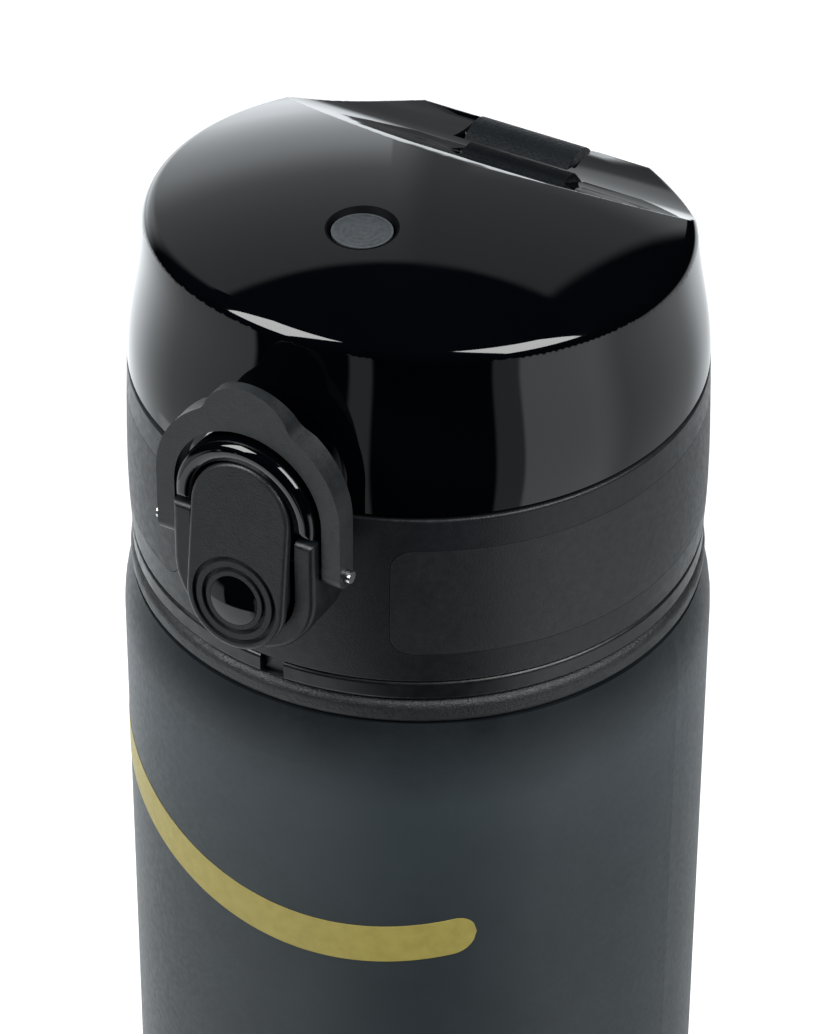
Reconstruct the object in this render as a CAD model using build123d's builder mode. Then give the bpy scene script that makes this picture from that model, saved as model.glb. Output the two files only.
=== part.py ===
from build123d import *
import math
import os

# Flip-top drinking bottle: a straight frosted bottle, a screw-on collar and a hinged lid that
# a press button and a swinging lock ring hold shut.
# Frame: millimetres, +Z up, origin at the centre of the foot, latch towards -Y, hinge towards +Y.

# ---- driving dimensions ----
BODY_R = 36.25            # bottle wall, outside
BODY_WALL = 2.4
SEAM_Z = 207.0            # where the lid meets the collar
SHOULDER_Z = 176.8        # ledge that carries the neck ring
NECK_R = 29.0
NECK_BORE_R = 26.4
NECK_TOP_Z = 199.0

THREAD_PITCH = 6.0
THREAD_TURNS = 1.25
THREAD_DEPTH = 1.5
THREAD_ROOT_HALF = 1.3
THREAD_CREST_HALF = 0.5
THREAD_START_Z = 184.5

COLLAR_R = 35.2
COLLAR_BORE_R = 32.7
LID_WALL = 2.2
LID_TOP_Z = SEAM_Z + 24.5
DOME_R = 100.0
DOME_APEX_Y = -8.0
LID_BACK_Y = 29.2
PARTING = 0.25            # lid rim above the seam; the collar rim stops the same amount below

SPOUT_Y = -13.4
SPOUT_R = 10.4
SPOUT_BORE_R = 8.0
SPOUT_TOP_Z = 222.0
VENT_Y = 12.0

HINGE_Y = 26.5
HINGE_Z = SEAM_Z + 10.8
KNUCKLE_R = 4.0
KNUCKLE_HALF = 7.1
SLOT_HALF = 7.8
HINGE_PIN_R = 1.25
EAR_OUTER_X = 11.3
HINGE_COIL_R = 1.75
HINGE_COIL_TURNS = 5.5
HINGE_COIL_PITCH = 0.9
HINGE_COIL_LENGTH = HINGE_COIL_TURNS * HINGE_COIL_PITCH

BOSS_FRONT_Y = -41.0      # face of the latch housing, shared by lid arch and collar half
ARCH_R = 9.15
ARCH_Z = SEAM_Z + 1.3
CRADLE_R = 9.35
CRADLE_Z = SEAM_Z - 8.4
RECESS_R = 6.95
LATCH_PIN_Y = -38.2
LATCH_PIN_Z = SEAM_Z - 4.9
LATCH_PIN_R = 0.75
LATCH_PIN_HALF = 12.9

BUTTON_R = 6.45
BUTTON_TOP_Z = SEAM_Z + 1.3
BUTTON_BOTTOM_Z = SEAM_Z - 9.85
BUTTON_DOT_Z = SEAM_Z - 9.9

RING_INNER_R = 9.75
RING_OUTER_R = 12.15
RING_THICKNESS = 3.0
RING_TAB_R = 5.9

RUNNING = 0.05            # radial clearance of a turning fit
SEATED = 0.05             # gap between pieces that are clipped together

os.makedirs("parts", exist_ok=True)


def write_part(builder, name):
    """Label a finished piece and write its STEP file."""
    builder.part.label = name
    export_step(builder.part, f"parts/{name}.step")


def thread_ridge(root_radius, outward, start_z):
    """One helical thread ridge standing on a wall of root_radius, outwards or inwards."""
    side = 1 if outward else -1
    buried = -0.4 * side
    crest = THREAD_DEPTH * side
    with BuildPart() as ridge:
        with BuildLine() as path:
            Helix(
                pitch=THREAD_PITCH,
                height=THREAD_PITCH * THREAD_TURNS,
                radius=root_radius,
                center=(0, 0, start_z),
            )
        start_plane = Plane(origin=path.line @ 0, x_dir=(1, 0, 0), z_dir=path.line % 0)
        with BuildSketch(start_plane):
            with BuildLine():
                Polyline(
                    (buried, -THREAD_ROOT_HALF),
                    (crest, -THREAD_CREST_HALF),
                    (crest, THREAD_CREST_HALF),
                    (buried, THREAD_ROOT_HALF),
                    close=True,
                )
            make_face()
        sweep(path=path.line, is_frenet=True)
    return ridge.part


def coil_spring(coil_radius, wire_radius, pitch, turns, leg_start, leg_end):
    """Coil about +Z from z = 0, starting at (coil_radius, 0); straight legs may leave towards -Y."""
    height = pitch * turns
    with BuildPart() as coil:
        with BuildLine() as path:
            Helix(pitch=pitch, height=height, radius=coil_radius)
        with BuildSketch(Plane(origin=path.line @ 0, x_dir=(1, 0, 0), z_dir=path.line % 0)):
            Circle(wire_radius)
        sweep(path=path.line, is_frenet=True)
        for end, length in ((path.line @ 0, leg_start), (path.line @ 1, leg_end)):
            if length > 0:
                leg_root = end + Vector(0, wire_radius, 0)
                with BuildSketch(Plane(origin=leg_root, x_dir=(1, 0, 0), z_dir=(0, -1, 0))):
                    Circle(0.9 * wire_radius)
                extrude(amount=length + wire_radius)
    return coil.part


def lid_volume(inset):
    """Outer volume of the lid drawn in by inset: tapered wall, shallow dome, rear scoop, flat back."""
    top = LID_TOP_Z - inset
    with BuildPart() as volume:
        with BuildSketch(Plane.XZ):
            with BuildLine():
                wall = Spline(
                    (34.85 - inset, SEAM_Z + PARTING),
                    (34.3 - inset, SEAM_Z + 6),
                    (33.3 - inset, SEAM_Z + 12),
                    (32.7 - inset, SEAM_Z + 17.5),
                    (32.2 - inset, SEAM_Z + 27),
                )
                Polyline(wall @ 1, (0, SEAM_Z + 27), (0, SEAM_Z + PARTING), wall @ 0)
            make_face()
        revolve(axis=Axis.Z)
        with Locations((0, DOME_APEX_Y, LID_TOP_Z - DOME_R)):
            Sphere(DOME_R - inset, mode=Mode.INTERSECT)
        with BuildSketch(Plane.YZ):
            with BuildLine():
                brow = Line((-45, top + 8), (5.2 - inset, top + 8))
                brow_face = Line(brow @ 1, (5.2 - inset, SEAM_Z + 23.7 - inset))
                scoop = Spline(
                    brow_face @ 1,
                    (15.2 - 0.8 * inset, SEAM_Z + 18.0 - 0.9 * inset),
                    (23.4 - 0.4 * inset, SEAM_Z + 14.4 - inset),
                    (LID_BACK_Y - inset, SEAM_Z + 14.0 - inset),
                )
                back = Line(scoop @ 1, (LID_BACK_Y - inset, SEAM_Z - 5))
                Polyline(back @ 1, (-45, SEAM_Z - 5), brow @ 0)
            make_face()
        extrude(amount=45, both=True, mode=Mode.INTERSECT)
    return volume.part


# ---- bottle body: frosted bottle with a threaded wide neck ----
with BuildPart() as bottle_body:
    with BuildSketch(Plane.XZ):
        with BuildLine():
            foot = Line((0, 0), (BODY_R - 6, 0))
            heel = TangentArc(foot @ 1, (BODY_R, 6), tangent=foot % 1)
            wall = Line(heel @ 1, (BODY_R, 169.5))
            shoulder = TangentArc(wall @ 1, (35.1, SHOULDER_Z), tangent=(0, 1))
            ledge = Line(shoulder @ 1, (NECK_R, SHOULDER_Z))
            neck_side = Line(ledge @ 1, (NECK_R, NECK_TOP_Z))
            rim = Line(neck_side @ 1, (NECK_BORE_R, NECK_TOP_Z))
            bore = Line(rim @ 1, (NECK_BORE_R, SHOULDER_Z - BODY_WALL))
            ceiling = Line(bore @ 1, (27.0, SHOULDER_Z - BODY_WALL))
            inner_shoulder = TangentArc(
                ceiling @ 1, (BODY_R - BODY_WALL, SHOULDER_Z - 9.2), tangent=(1, 0)
            )
            inner_wall = Line(inner_shoulder @ 1, (BODY_R - BODY_WALL, 8.0))
            inner_heel = TangentArc(inner_wall @ 1, (BODY_R - BODY_WALL - 5, 3.0), tangent=(0, -1))
            Polyline(inner_heel @ 1, (0, 3.0), (0, 0))
        make_face()
    revolve(axis=Axis.Z)
    with BuildSketch():
        Circle(27.0)
        Circle(22.0, mode=Mode.SUBTRACT)
    extrude(amount=0.8, mode=Mode.SUBTRACT)
    add(thread_ridge(NECK_R, True, THREAD_START_Z))
write_part(bottle_body, "bottle_body")

# ---- neck ring: grained soft ring that sits on the shoulder ----
with BuildPart() as neck_ring:
    with BuildSketch(Plane.XZ):
        with Locations(((29.3 + 35.25) / 2, SHOULDER_Z + 1.75)):
            RectangleRounded(35.25 - 29.3, 3.4, 1.3)
    revolve(axis=Axis.Z)
write_part(neck_ring, "neck_ring")

# ---- cap gasket: flat silicone washer on the bottle's rim ----
GASKET_Z = NECK_TOP_Z + SEATED
GASKET_THICKNESS = 1.1
with BuildPart() as cap_gasket:
    with BuildSketch(Plane.XY.offset(GASKET_Z)):
        Circle(30.6)
        Circle(26.8, mode=Mode.SUBTRACT)
    extrude(amount=GASKET_THICKNESS)
write_part(cap_gasket, "cap_gasket")

# ---- collar insert: threaded inner cap, its flange shows as the thin ring under the collar ----
INSERT_R = COLLAR_BORE_R - SEATED
INSERT_BORE_R = NECK_R + THREAD_DEPTH + 0.5
DECK_Z = GASKET_Z + GASKET_THICKNESS + SEATED
DECK_THICKNESS = 2.2
DECK_TOP_Z = DECK_Z + DECK_THICKNESS
FLANGE_BOTTOM_Z = SEAM_Z - 26.55
FLANGE_TOP_Z = SEAM_Z - 23.95
SEAL_R = 11.0             # mean radius of the O-ring under the mouthpiece
SEAL_WIRE_R = 0.6
with BuildPart() as collar_insert:
    with BuildSketch(Plane.XY.offset(FLANGE_BOTTOM_Z)):
        Circle(35.0)
    extrude(amount=FLANGE_TOP_Z - FLANGE_BOTTOM_Z)
    flange_rims = edges().filter_by(GeomType.CIRCLE)
    fillet(flange_rims, radius=0.5)
    with BuildSketch(Plane.XY.offset(FLANGE_TOP_Z)):
        Circle(INSERT_R)
    extrude(amount=DECK_TOP_Z - FLANGE_TOP_Z)
    with BuildSketch(Plane.XY.offset(FLANGE_BOTTOM_Z)):
        Circle(INSERT_BORE_R)
    extrude(amount=DECK_Z - FLANGE_BOTTOM_Z, mode=Mode.SUBTRACT)
    with BuildSketch(Plane.XY.offset(DECK_Z)):
        with Locations((0, SPOUT_Y)):
            Circle(SPOUT_BORE_R)
        with Locations((0, VENT_Y)):
            Circle(1.45)
    extrude(amount=DECK_THICKNESS, mode=Mode.SUBTRACT)
    with BuildSketch(Plane.XY.offset(DECK_TOP_Z - 2 * SEAL_WIRE_R)):
        with Locations((0, SPOUT_Y)):
            Circle(SEAL_R + SEAL_WIRE_R + 0.1)
            Circle(SEAL_R - SEAL_WIRE_R - 0.1, mode=Mode.SUBTRACT)
    extrude(amount=2 * SEAL_WIRE_R, mode=Mode.SUBTRACT)
    with Locations((0, -35.0, (FLANGE_BOTTOM_Z + FLANGE_TOP_Z) / 2)):
        Box(3.2, 2.4, 6.0, mode=Mode.SUBTRACT)
    add(thread_ridge(INSERT_BORE_R, False, THREAD_START_Z + THREAD_PITCH / 2))
write_part(collar_insert, "collar_insert")

# ---- collar shell: matt outer collar with the latch cradle in front and the hinge tower behind ----
COLLAR_DECK_Z = SEAM_Z - 3.2
COLLAR_DECK_TOP_Z = SEAM_Z - 1.0
COLLAR_RIM_Z = SEAM_Z - PARTING - 0.1
COLLAR_BOTTOM_Z = FLANGE_TOP_Z + SEATED
GRIP_BOTTOM_Z = SEAM_Z - 19.6
GRIP_TOP_Z = SEAM_Z - 4.6
GRIP_DEPTH = 0.9
GRIP_GAP_HALF_ANGLE = 24.0      # the grip band stops this far each side of the latch


def grip_outline(inset, corner):
    """Volume in front of the latch that the grip band leaves free, as a rounded panel."""
    half_width = COLLAR_R * math.sin(math.radians(GRIP_GAP_HALF_ANGLE)) + inset
    with BuildPart() as panel:
        with BuildSketch(Plane.XZ):
            with Locations((0, (GRIP_BOTTOM_Z + GRIP_TOP_Z) / 2)):
                Rectangle(2 * half_width, GRIP_TOP_Z - GRIP_BOTTOM_Z + 4 * corner)
        extrude(amount=60)
    return panel.part


def grip_volume(inset):
    """Band sunk in the collar wall, broken at the latch, with rounded ends; inset draws it in."""
    bottom = GRIP_BOTTOM_Z + inset
    height = GRIP_TOP_Z - GRIP_BOTTOM_Z - 2 * inset
    with BuildPart() as band:
        with BuildSketch(Plane.XY.offset(bottom)):
            Circle(COLLAR_R + 3)
            Circle(COLLAR_R - GRIP_DEPTH + inset, mode=Mode.SUBTRACT)
        extrude(amount=height)
        add(grip_outline(inset, 1.0), mode=Mode.SUBTRACT)
        band_ends = band.edges().filter_by(lambda edge: abs(edge.tangent_at(0.5).Z) < 0.3)
        band_ends = band_ends.filter_by(lambda edge: edge.center().Y < -20 and edge.length < 6)
        fillet(band_ends, radius=2.5)
    return band.part


def collar_wall():
    """Closed volume under the collar's outer skin."""
    with BuildPart() as skin:
        with BuildSketch(Plane.XZ):
            with BuildLine():
                side = Spline(
                    (34.95, COLLAR_BOTTOM_Z),
                    (COLLAR_R + 0.05, SEAM_Z - 17),
                    (COLLAR_R - 0.05, SEAM_Z - 8),
                    (34.9, COLLAR_RIM_Z),
                )
                Polyline(side @ 1, (0, COLLAR_RIM_Z), (0, COLLAR_BOTTOM_Z), side @ 0)
            make_face()
        revolve(axis=Axis.Z)
    return skin.part


with BuildPart() as collar_shell:
    add(collar_wall())
    outer_rims = edges().filter_by(GeomType.CIRCLE)
    fillet(outer_rims, radius=0.4)
    # latch cradle: the matt lower half of the latch housing
    with BuildSketch(Plane.XZ.offset(-BOSS_FRONT_Y)):
        with Locations((0, CRADLE_Z)):
            Circle(CRADLE_R)
        with Locations((0, (CRADLE_Z + COLLAR_RIM_Z) / 2)):
            Rectangle(2 * CRADLE_R, COLLAR_RIM_Z - CRADLE_Z)
        with Locations((0, COLLAR_RIM_Z + 5)):
            Rectangle(2 * CRADLE_R, 10, mode=Mode.SUBTRACT)
    extrude(amount=-8)
    cradle_face = faces().sort_by(Axis.Y)[0]
    fillet(cradle_face.edges(), radius=0.7)
    with BuildSketch(Plane.XZ.offset(-BOSS_FRONT_Y)):
        with Locations((0, CRADLE_Z)):
            Circle(RECESS_R)
        with Locations((0, (CRADLE_Z + SEAM_Z + 1) / 2)):
            Rectangle(2 * RECESS_R, SEAM_Z + 1 - CRADLE_Z)
    extrude(amount=-(-BOSS_FRONT_Y - COLLAR_R), mode=Mode.SUBTRACT)
    # hollow for the insert, and the shallow well inside the rim
    with BuildSketch(Plane.XY.offset(COLLAR_BOTTOM_Z)):
        Circle(COLLAR_BORE_R)
    extrude(amount=COLLAR_DECK_Z - COLLAR_BOTTOM_Z, mode=Mode.SUBTRACT)
    with BuildSketch(Plane.XY.offset(COLLAR_DECK_TOP_Z)):
        Circle(33.0)
    extrude(amount=2.0, mode=Mode.SUBTRACT)
    with BuildSketch(Plane.XY.offset(COLLAR_DECK_Z)):
        with Locations((0, SPOUT_Y)):
            Circle(SPOUT_R + 0.2)
        with Locations((0, VENT_Y)):
            Circle(2.6)
    extrude(amount=COLLAR_DECK_TOP_Z - COLLAR_DECK_Z, mode=Mode.SUBTRACT)
    # hinge tower with its knuckle, bored for the pin and pocketed for the spring
    with BuildSketch(Plane.YZ):
        with Locations((HINGE_Y, HINGE_Z)):
            Circle(KNUCKLE_R)
        with Locations((HINGE_Y, (HINGE_Z + COLLAR_DECK_Z + 1) / 2)):
            Rectangle(2 * KNUCKLE_R - 0.2, HINGE_Z - COLLAR_DECK_Z - 1)
    extrude(amount=KNUCKLE_HALF, both=True)
    with BuildSketch(Plane.YZ):
        with Locations((HINGE_Y, HINGE_Z)):
            Circle(HINGE_PIN_R + RUNNING)
    extrude(amount=KNUCKLE_HALF, both=True, mode=Mode.SUBTRACT)
    with BuildSketch(Plane.YZ):
        with Locations((HINGE_Y, HINGE_Z)):
            Circle(2.85)
        with Locations((HINGE_Y - 4, HINGE_Z - 0.25)):
            Rectangle(8, 5.2)
    extrude(amount=3.2, both=True, mode=Mode.SUBTRACT)
    # cross bore for the latch pin
    with BuildSketch(Plane.YZ):
        with Locations((LATCH_PIN_Y, LATCH_PIN_Z)):
            Circle(LATCH_PIN_R)
    extrude(amount=LATCH_PIN_HALF, both=True, mode=Mode.SUBTRACT)
    add(grip_volume(0), mode=Mode.SUBTRACT)
write_part(collar_shell, "collar_shell")

# ---- grip band: soft-touch inlay around the collar ----
with BuildPart() as grip_band:
    add(collar_wall())
    add(grip_volume(SEATED), mode=Mode.INTERSECT)
write_part(grip_band, "grip_band")

# ---- mouthpiece: drinking spout with a flange clipped under the collar's deck ----
with BuildPart() as mouthpiece:
    with BuildSketch(Plane.XY.offset(DECK_TOP_Z + SEATED)):
        with Locations((0, SPOUT_Y)):
            Circle(13.2)
    extrude(amount=COLLAR_DECK_Z - DECK_TOP_Z - 2 * SEATED)
    with BuildSketch(Plane.XY.offset(DECK_TOP_Z + SEATED)):
        with Locations((0, SPOUT_Y)):
            Circle(SPOUT_R)
    extrude(amount=SPOUT_TOP_Z - DECK_TOP_Z - SEATED)
    with BuildSketch(Plane.XY.offset(DECK_TOP_Z + SEATED)):
        with Locations((0, SPOUT_Y)):
            Circle(SPOUT_BORE_R)
    extrude(amount=SPOUT_TOP_Z - DECK_TOP_Z, mode=Mode.SUBTRACT)
    lip_edges = edges().group_by(Axis.Z)[-1]
    fillet(lip_edges, radius=0.9)
write_part(mouthpiece, "mouthpiece")

# ---- mouthpiece seal: O-ring in the insert's groove under the mouthpiece ----
with BuildPart() as mouthpiece_seal:
    with Locations((0, SPOUT_Y, DECK_TOP_Z - SEAL_WIRE_R)):
        Torus(SEAL_R, SEAL_WIRE_R)
write_part(mouthpiece_seal, "mouthpiece_seal")

# ---- vent valve: silicone umbrella that lets air in behind the drink ----
with BuildPart() as vent_valve:
    with BuildSketch(Plane(origin=(0, VENT_Y, 0), x_dir=(1, 0, 0), z_dir=(0, -1, 0))):
        with BuildLine():
            Polyline(
                (0, DECK_Z - 0.9),
                (1.6, DECK_Z - 0.9),
                (4.2, DECK_Z - 0.1),
                (1.4, DECK_Z - SEATED),
                (1.4, DECK_TOP_Z + SEATED),
                (2.0, DECK_TOP_Z + 0.3),
                (1.2, DECK_TOP_Z + 1.3),
                (0, DECK_TOP_Z + 1.3),
                close=True,
            )
        make_face()
    revolve(axis=Axis((0, VENT_Y, 0), (0, 0, 1)))
write_part(vent_valve, "vent_valve")

# ---- lid shell: glossy domed lid with a scooped back, the latch arch and two hinge ears ----
WELL_R = 4.1              # shallow well in the crown
STUB_R = 3.6              # silicone stub that fills it
with BuildPart() as lid_shell:
    add(lid_volume(0))
    crown_edges = edges().filter_by(lambda edge: edge.center().Z > SEAM_Z + 12)
    brow_edge = crown_edges.sort_by(Axis.Y)[0]
    fillet(brow_edge, radius=2.4)
    scoop_edges = edges().filter_by(lambda edge: edge.center().Z > SEAM_Z + 12 and edge.center().Y > 0)
    fillet(scoop_edges, radius=0.7)
    with BuildSketch(Plane.XZ.offset(-BOSS_FRONT_Y)):
        with Locations((0, ARCH_Z)):
            Circle(ARCH_R)
        with Locations((0, SEAM_Z + PARTING - 10)):
            Rectangle(40, 20, mode=Mode.SUBTRACT)
    extrude(amount=-9)
    arch_face = faces().sort_by(Axis.Y)[0]
    arch_rim = arch_face.edges().filter_by(lambda edge: edge.length > 12)
    fillet(arch_rim, radius=1.1)
    add(lid_volume(LID_WALL), mode=Mode.SUBTRACT)
    with BuildSketch(Plane.XZ.offset(-BOSS_FRONT_Y)):
        with Locations((0, ARCH_Z)):
            Circle(RECESS_R)
        with Locations((0, ARCH_Z - 5)):
            Rectangle(2 * RECESS_R, 10)
    extrude(amount=-(-BOSS_FRONT_Y - 34.6), mode=Mode.SUBTRACT)
    # keeper ledge that the button's hook catches
    with BuildSketch(Plane.YZ):
        with BuildLine():
            Polyline(
                (-33.6, SEAM_Z + 2.2), (-36.0, SEAM_Z + 3.0), (-36.4, SEAM_Z + 3.6),
                (-36.4, SEAM_Z + 5.0), (-33.6, SEAM_Z + 5.0), close=True,
            )
        make_face()
    extrude(amount=3.0, both=True)
    # slot for the hinge knuckle, open at the back
    with Locations((0, 22.2, SEAM_Z - 2)):
        Box(2 * SLOT_HALF, 20, 30, align=(Align.CENTER, Align.MIN, Align.MIN), mode=Mode.SUBTRACT)
    # notch under the slot's edge for the spring's leg
    with Locations((HINGE_COIL_LENGTH / 2, 21.6, HINGE_Z + HINGE_COIL_R)):
        Box(1.0, 1.6, 1.0, mode=Mode.SUBTRACT)
    for side in (1, -1):
        ear_plane = Plane.YZ.offset(side * (SLOT_HALF + EAR_OUTER_X) / 2)
        with BuildSketch(ear_plane):
            with Locations(((22.3 + LID_BACK_Y) / 2, HINGE_Z)):
                Rectangle(LID_BACK_Y - 22.3, 5.6)
        extrude(amount=(EAR_OUTER_X - SLOT_HALF) / 2, both=True)
    with BuildSketch(Plane.YZ):
        with Locations((HINGE_Y, HINGE_Z)):
            Circle(HINGE_PIN_R)
    extrude(amount=EAR_OUTER_X, both=True, mode=Mode.SUBTRACT)
    # well and stub hole in the crown
    with BuildSketch(Plane.XY.offset(SEAM_Z + 18)):
        with Locations((0, SPOUT_Y)):
            Circle(STUB_R + SEATED)
    extrude(amount=8, mode=Mode.SUBTRACT)
    with BuildSketch(Plane.XY.offset(SEAM_Z + 23.6)):
        with Locations((0, SPOUT_Y)):
            Circle(WELL_R)
    extrude(amount=3, mode=Mode.SUBTRACT)
write_part(lid_shell, "lid_shell")

# ---- lid liner: plate inside the lid that carries the spout seal ----
LINER_Z = SPOUT_TOP_Z + 2.2
with BuildPart() as lid_liner:
    with BuildSketch(Plane(origin=(0, SPOUT_Y, 0), x_dir=(1, 0, 0), z_dir=(0, -1, 0))):
        with BuildLine():
            Polyline(
                (STUB_R + SEATED, LINER_Z), (11.5, LINER_Z), (11.5, LINER_Z - 3.0), (12.6, LINER_Z - 3.0),
                (12.6, LINER_Z + 1.4), (5.4, LINER_Z + 1.4), (5.4, LINER_Z + 4.3),
                (STUB_R + SEATED, LINER_Z + 4.3), close=True,
            )
        make_face()
    revolve(axis=Axis((0, SPOUT_Y, 0), (0, 0, 1)))
write_part(lid_liner, "lid_liner")

# ---- spout seal: silicone plug with a stub that shows in the crown's well ----
with BuildPart() as spout_seal:
    with BuildSketch(Plane(origin=(0, SPOUT_Y, 0), x_dir=(1, 0, 0), z_dir=(0, -1, 0))):
        with BuildLine():
            Polyline(
                (0, SPOUT_TOP_Z - 1.8), (6.9, SPOUT_TOP_Z - 1.8), (7.5, SPOUT_TOP_Z + 0.15),
                (11.3, SPOUT_TOP_Z + 0.15), (11.3, LINER_Z - SEATED), (STUB_R, LINER_Z - SEATED),
                (STUB_R, SEAM_Z + 23.85), (0, SEAM_Z + 23.85), close=True,
            )
        make_face()
    revolve(axis=Axis((0, SPOUT_Y, 0), (0, 0, 1)))
write_part(spout_seal, "spout_seal")

# ---- hinge pin and hinge spring ----
with BuildPart() as hinge_pin:
    with BuildSketch(Plane.YZ.offset(-EAR_OUTER_X)):
        with Locations((HINGE_Y, HINGE_Z)):
            Circle(HINGE_PIN_R)
    extrude(amount=2 * EAR_OUTER_X)
write_part(hinge_pin, "hinge_pin")

hinge_spring_plane = Plane(
    origin=(-HINGE_COIL_LENGTH / 2, HINGE_Y, HINGE_Z), x_dir=(0, 0, -1), z_dir=(1, 0, 0)
)
with BuildPart() as hinge_spring:
    add(hinge_spring_plane.location * coil_spring(HINGE_COIL_R, 0.3, HINGE_COIL_PITCH, HINGE_COIL_TURNS, 2.6, 5.4))
write_part(hinge_spring, "hinge_spring")

# ---- latch button: rocker with a ringed thumb pad, a pivot lug and a hook ----
BUTTON_TOP_Y = -40.83           # face at the top edge; it leans forward towards the bottom
BUTTON_LEAN = 3.14
PLATE_THICKNESS = 1.4


def button_slab(radius, bottom_z, front_y, back_y_top, back_y_bottom):
    """Upright rounded plate between two leaning planes, given at the top and the bottom edge."""
    with BuildPart() as slab:
        with BuildSketch(Plane.XZ.offset(36)):
            with Locations((0, BUTTON_TOP_Z), (0, bottom_z)):
                Circle(radius)
            with Locations((0, (BUTTON_TOP_Z + bottom_z) / 2)):
                Rectangle(2 * radius, BUTTON_TOP_Z - bottom_z)
        extrude(amount=10)
        with BuildSketch(Plane.YZ):
            with BuildLine():
                Polyline(
                    (front_y, SEAM_Z + 8.5),
                    (front_y - BUTTON_LEAN, SEAM_Z - 17.5),
                    (back_y_bottom, SEAM_Z - 17.5),
                    (back_y_top, SEAM_Z + 8.5),
                    close=True,
                )
            make_face()
        extrude(amount=10, both=True, mode=Mode.INTERSECT)
    return slab.part


with BuildPart() as latch_button:
    add(
        button_slab(
            BUTTON_R,
            BUTTON_BOTTOM_Z,
            BUTTON_TOP_Y,
            BUTTON_TOP_Y + PLATE_THICKNESS,
            BUTTON_TOP_Y + PLATE_THICKNESS - BUTTON_LEAN,
        )
    )
    front_face = faces().sort_by(Axis.Y)[0]
    fillet(front_face.edges(), radius=0.5)
    add(button_slab(BUTTON_R - 0.25, CRADLE_Z, BUTTON_TOP_Y + 0.7, -38.6, -40.4))
    # thumb pad: a shallow dish and a raised ring around the dot
    pad_tilt = math.atan2(BUTTON_LEAN, 26.0)
    pad_y = BUTTON_TOP_Y - BUTTON_LEAN * (SEAM_Z + 8.5 - BUTTON_DOT_Z) / 26.0
    pad_plane = Plane(
        origin=(0, pad_y, BUTTON_DOT_Z),
        x_dir=(1, 0, 0),
        z_dir=(0, -math.cos(pad_tilt), math.sin(pad_tilt)),
    )
    with BuildSketch(pad_plane.offset(0.2)):
        Circle(5.6)
        Circle(5.0, mode=Mode.SUBTRACT)
        Circle(4.3)
        Circle(3.7, mode=Mode.SUBTRACT)
        Circle(3.15)
    extrude(amount=-0.7, mode=Mode.SUBTRACT)
    with BuildSketch(Plane.YZ):
        with Locations((LATCH_PIN_Y, LATCH_PIN_Z)):
            Circle(1.6)
        with Locations((LATCH_PIN_Y - 1.2, LATCH_PIN_Z)):
            Rectangle(2.4, 3.2)
    extrude(amount=6.0, both=True)
    with BuildSketch(Plane.YZ):
        with BuildLine():
            Polyline(
                (-39.4, SEAM_Z + 7.1), (-36.4, SEAM_Z + 7.1), (-35.5, SEAM_Z + 6.3),
                (-35.5, SEAM_Z + 5.15), (-37.2, SEAM_Z + 5.15), (-39.6, SEAM_Z + 3.6), close=True,
            )
        make_face()
    extrude(amount=2.6, both=True)
    with BuildSketch(Plane.YZ):
        with Locations((LATCH_PIN_Y, LATCH_PIN_Z)):
            Circle(LATCH_PIN_R + RUNNING)
    extrude(amount=8.0, both=True, mode=Mode.SUBTRACT)
write_part(latch_button, "latch_button")

# ---- button dome: glossy dot pressed into the thumb pad ----
with BuildPart() as button_dome:
    with BuildSketch(pad_plane.offset(-0.48)):
        Circle(3.1)
    extrude(amount=0.5)
    dome_ball_r = 10.0
    ball_centre = pad_plane.from_local_coords((0, 0, 0.5 - dome_ball_r))
    with BuildSketch(pad_plane):
        Circle(3.1)
    extrude(amount=0.6)
    with Locations(ball_centre):
        Sphere(dome_ball_r, mode=Mode.INTERSECT)
write_part(button_dome, "button_dome")

# ---- button spring: small coil between the cradle floor and the button ----
BUTTON_SPRING_Z = SEAM_Z - 11.0
with BuildPart() as button_spring:
    spring_plane = Plane(origin=(0, -COLLAR_R - 0.35, BUTTON_SPRING_Z), x_dir=(1, 0, 0), z_dir=(0, -1, 0))
    add(spring_plane.location * coil_spring(2.2, 0.25, 0.98, 4.0, 0, 0))
write_part(button_spring, "button_spring")

# ---- latch pin: steel pin shared by the button and the lock ring ----
with BuildPart() as latch_pin:
    with BuildSketch(Plane.YZ.offset(-LATCH_PIN_HALF)):
        with Locations((LATCH_PIN_Y, LATCH_PIN_Z)):
            Circle(LATCH_PIN_R)
    extrude(amount=2 * LATCH_PIN_HALF)
write_part(latch_pin, "latch_pin")

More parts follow.
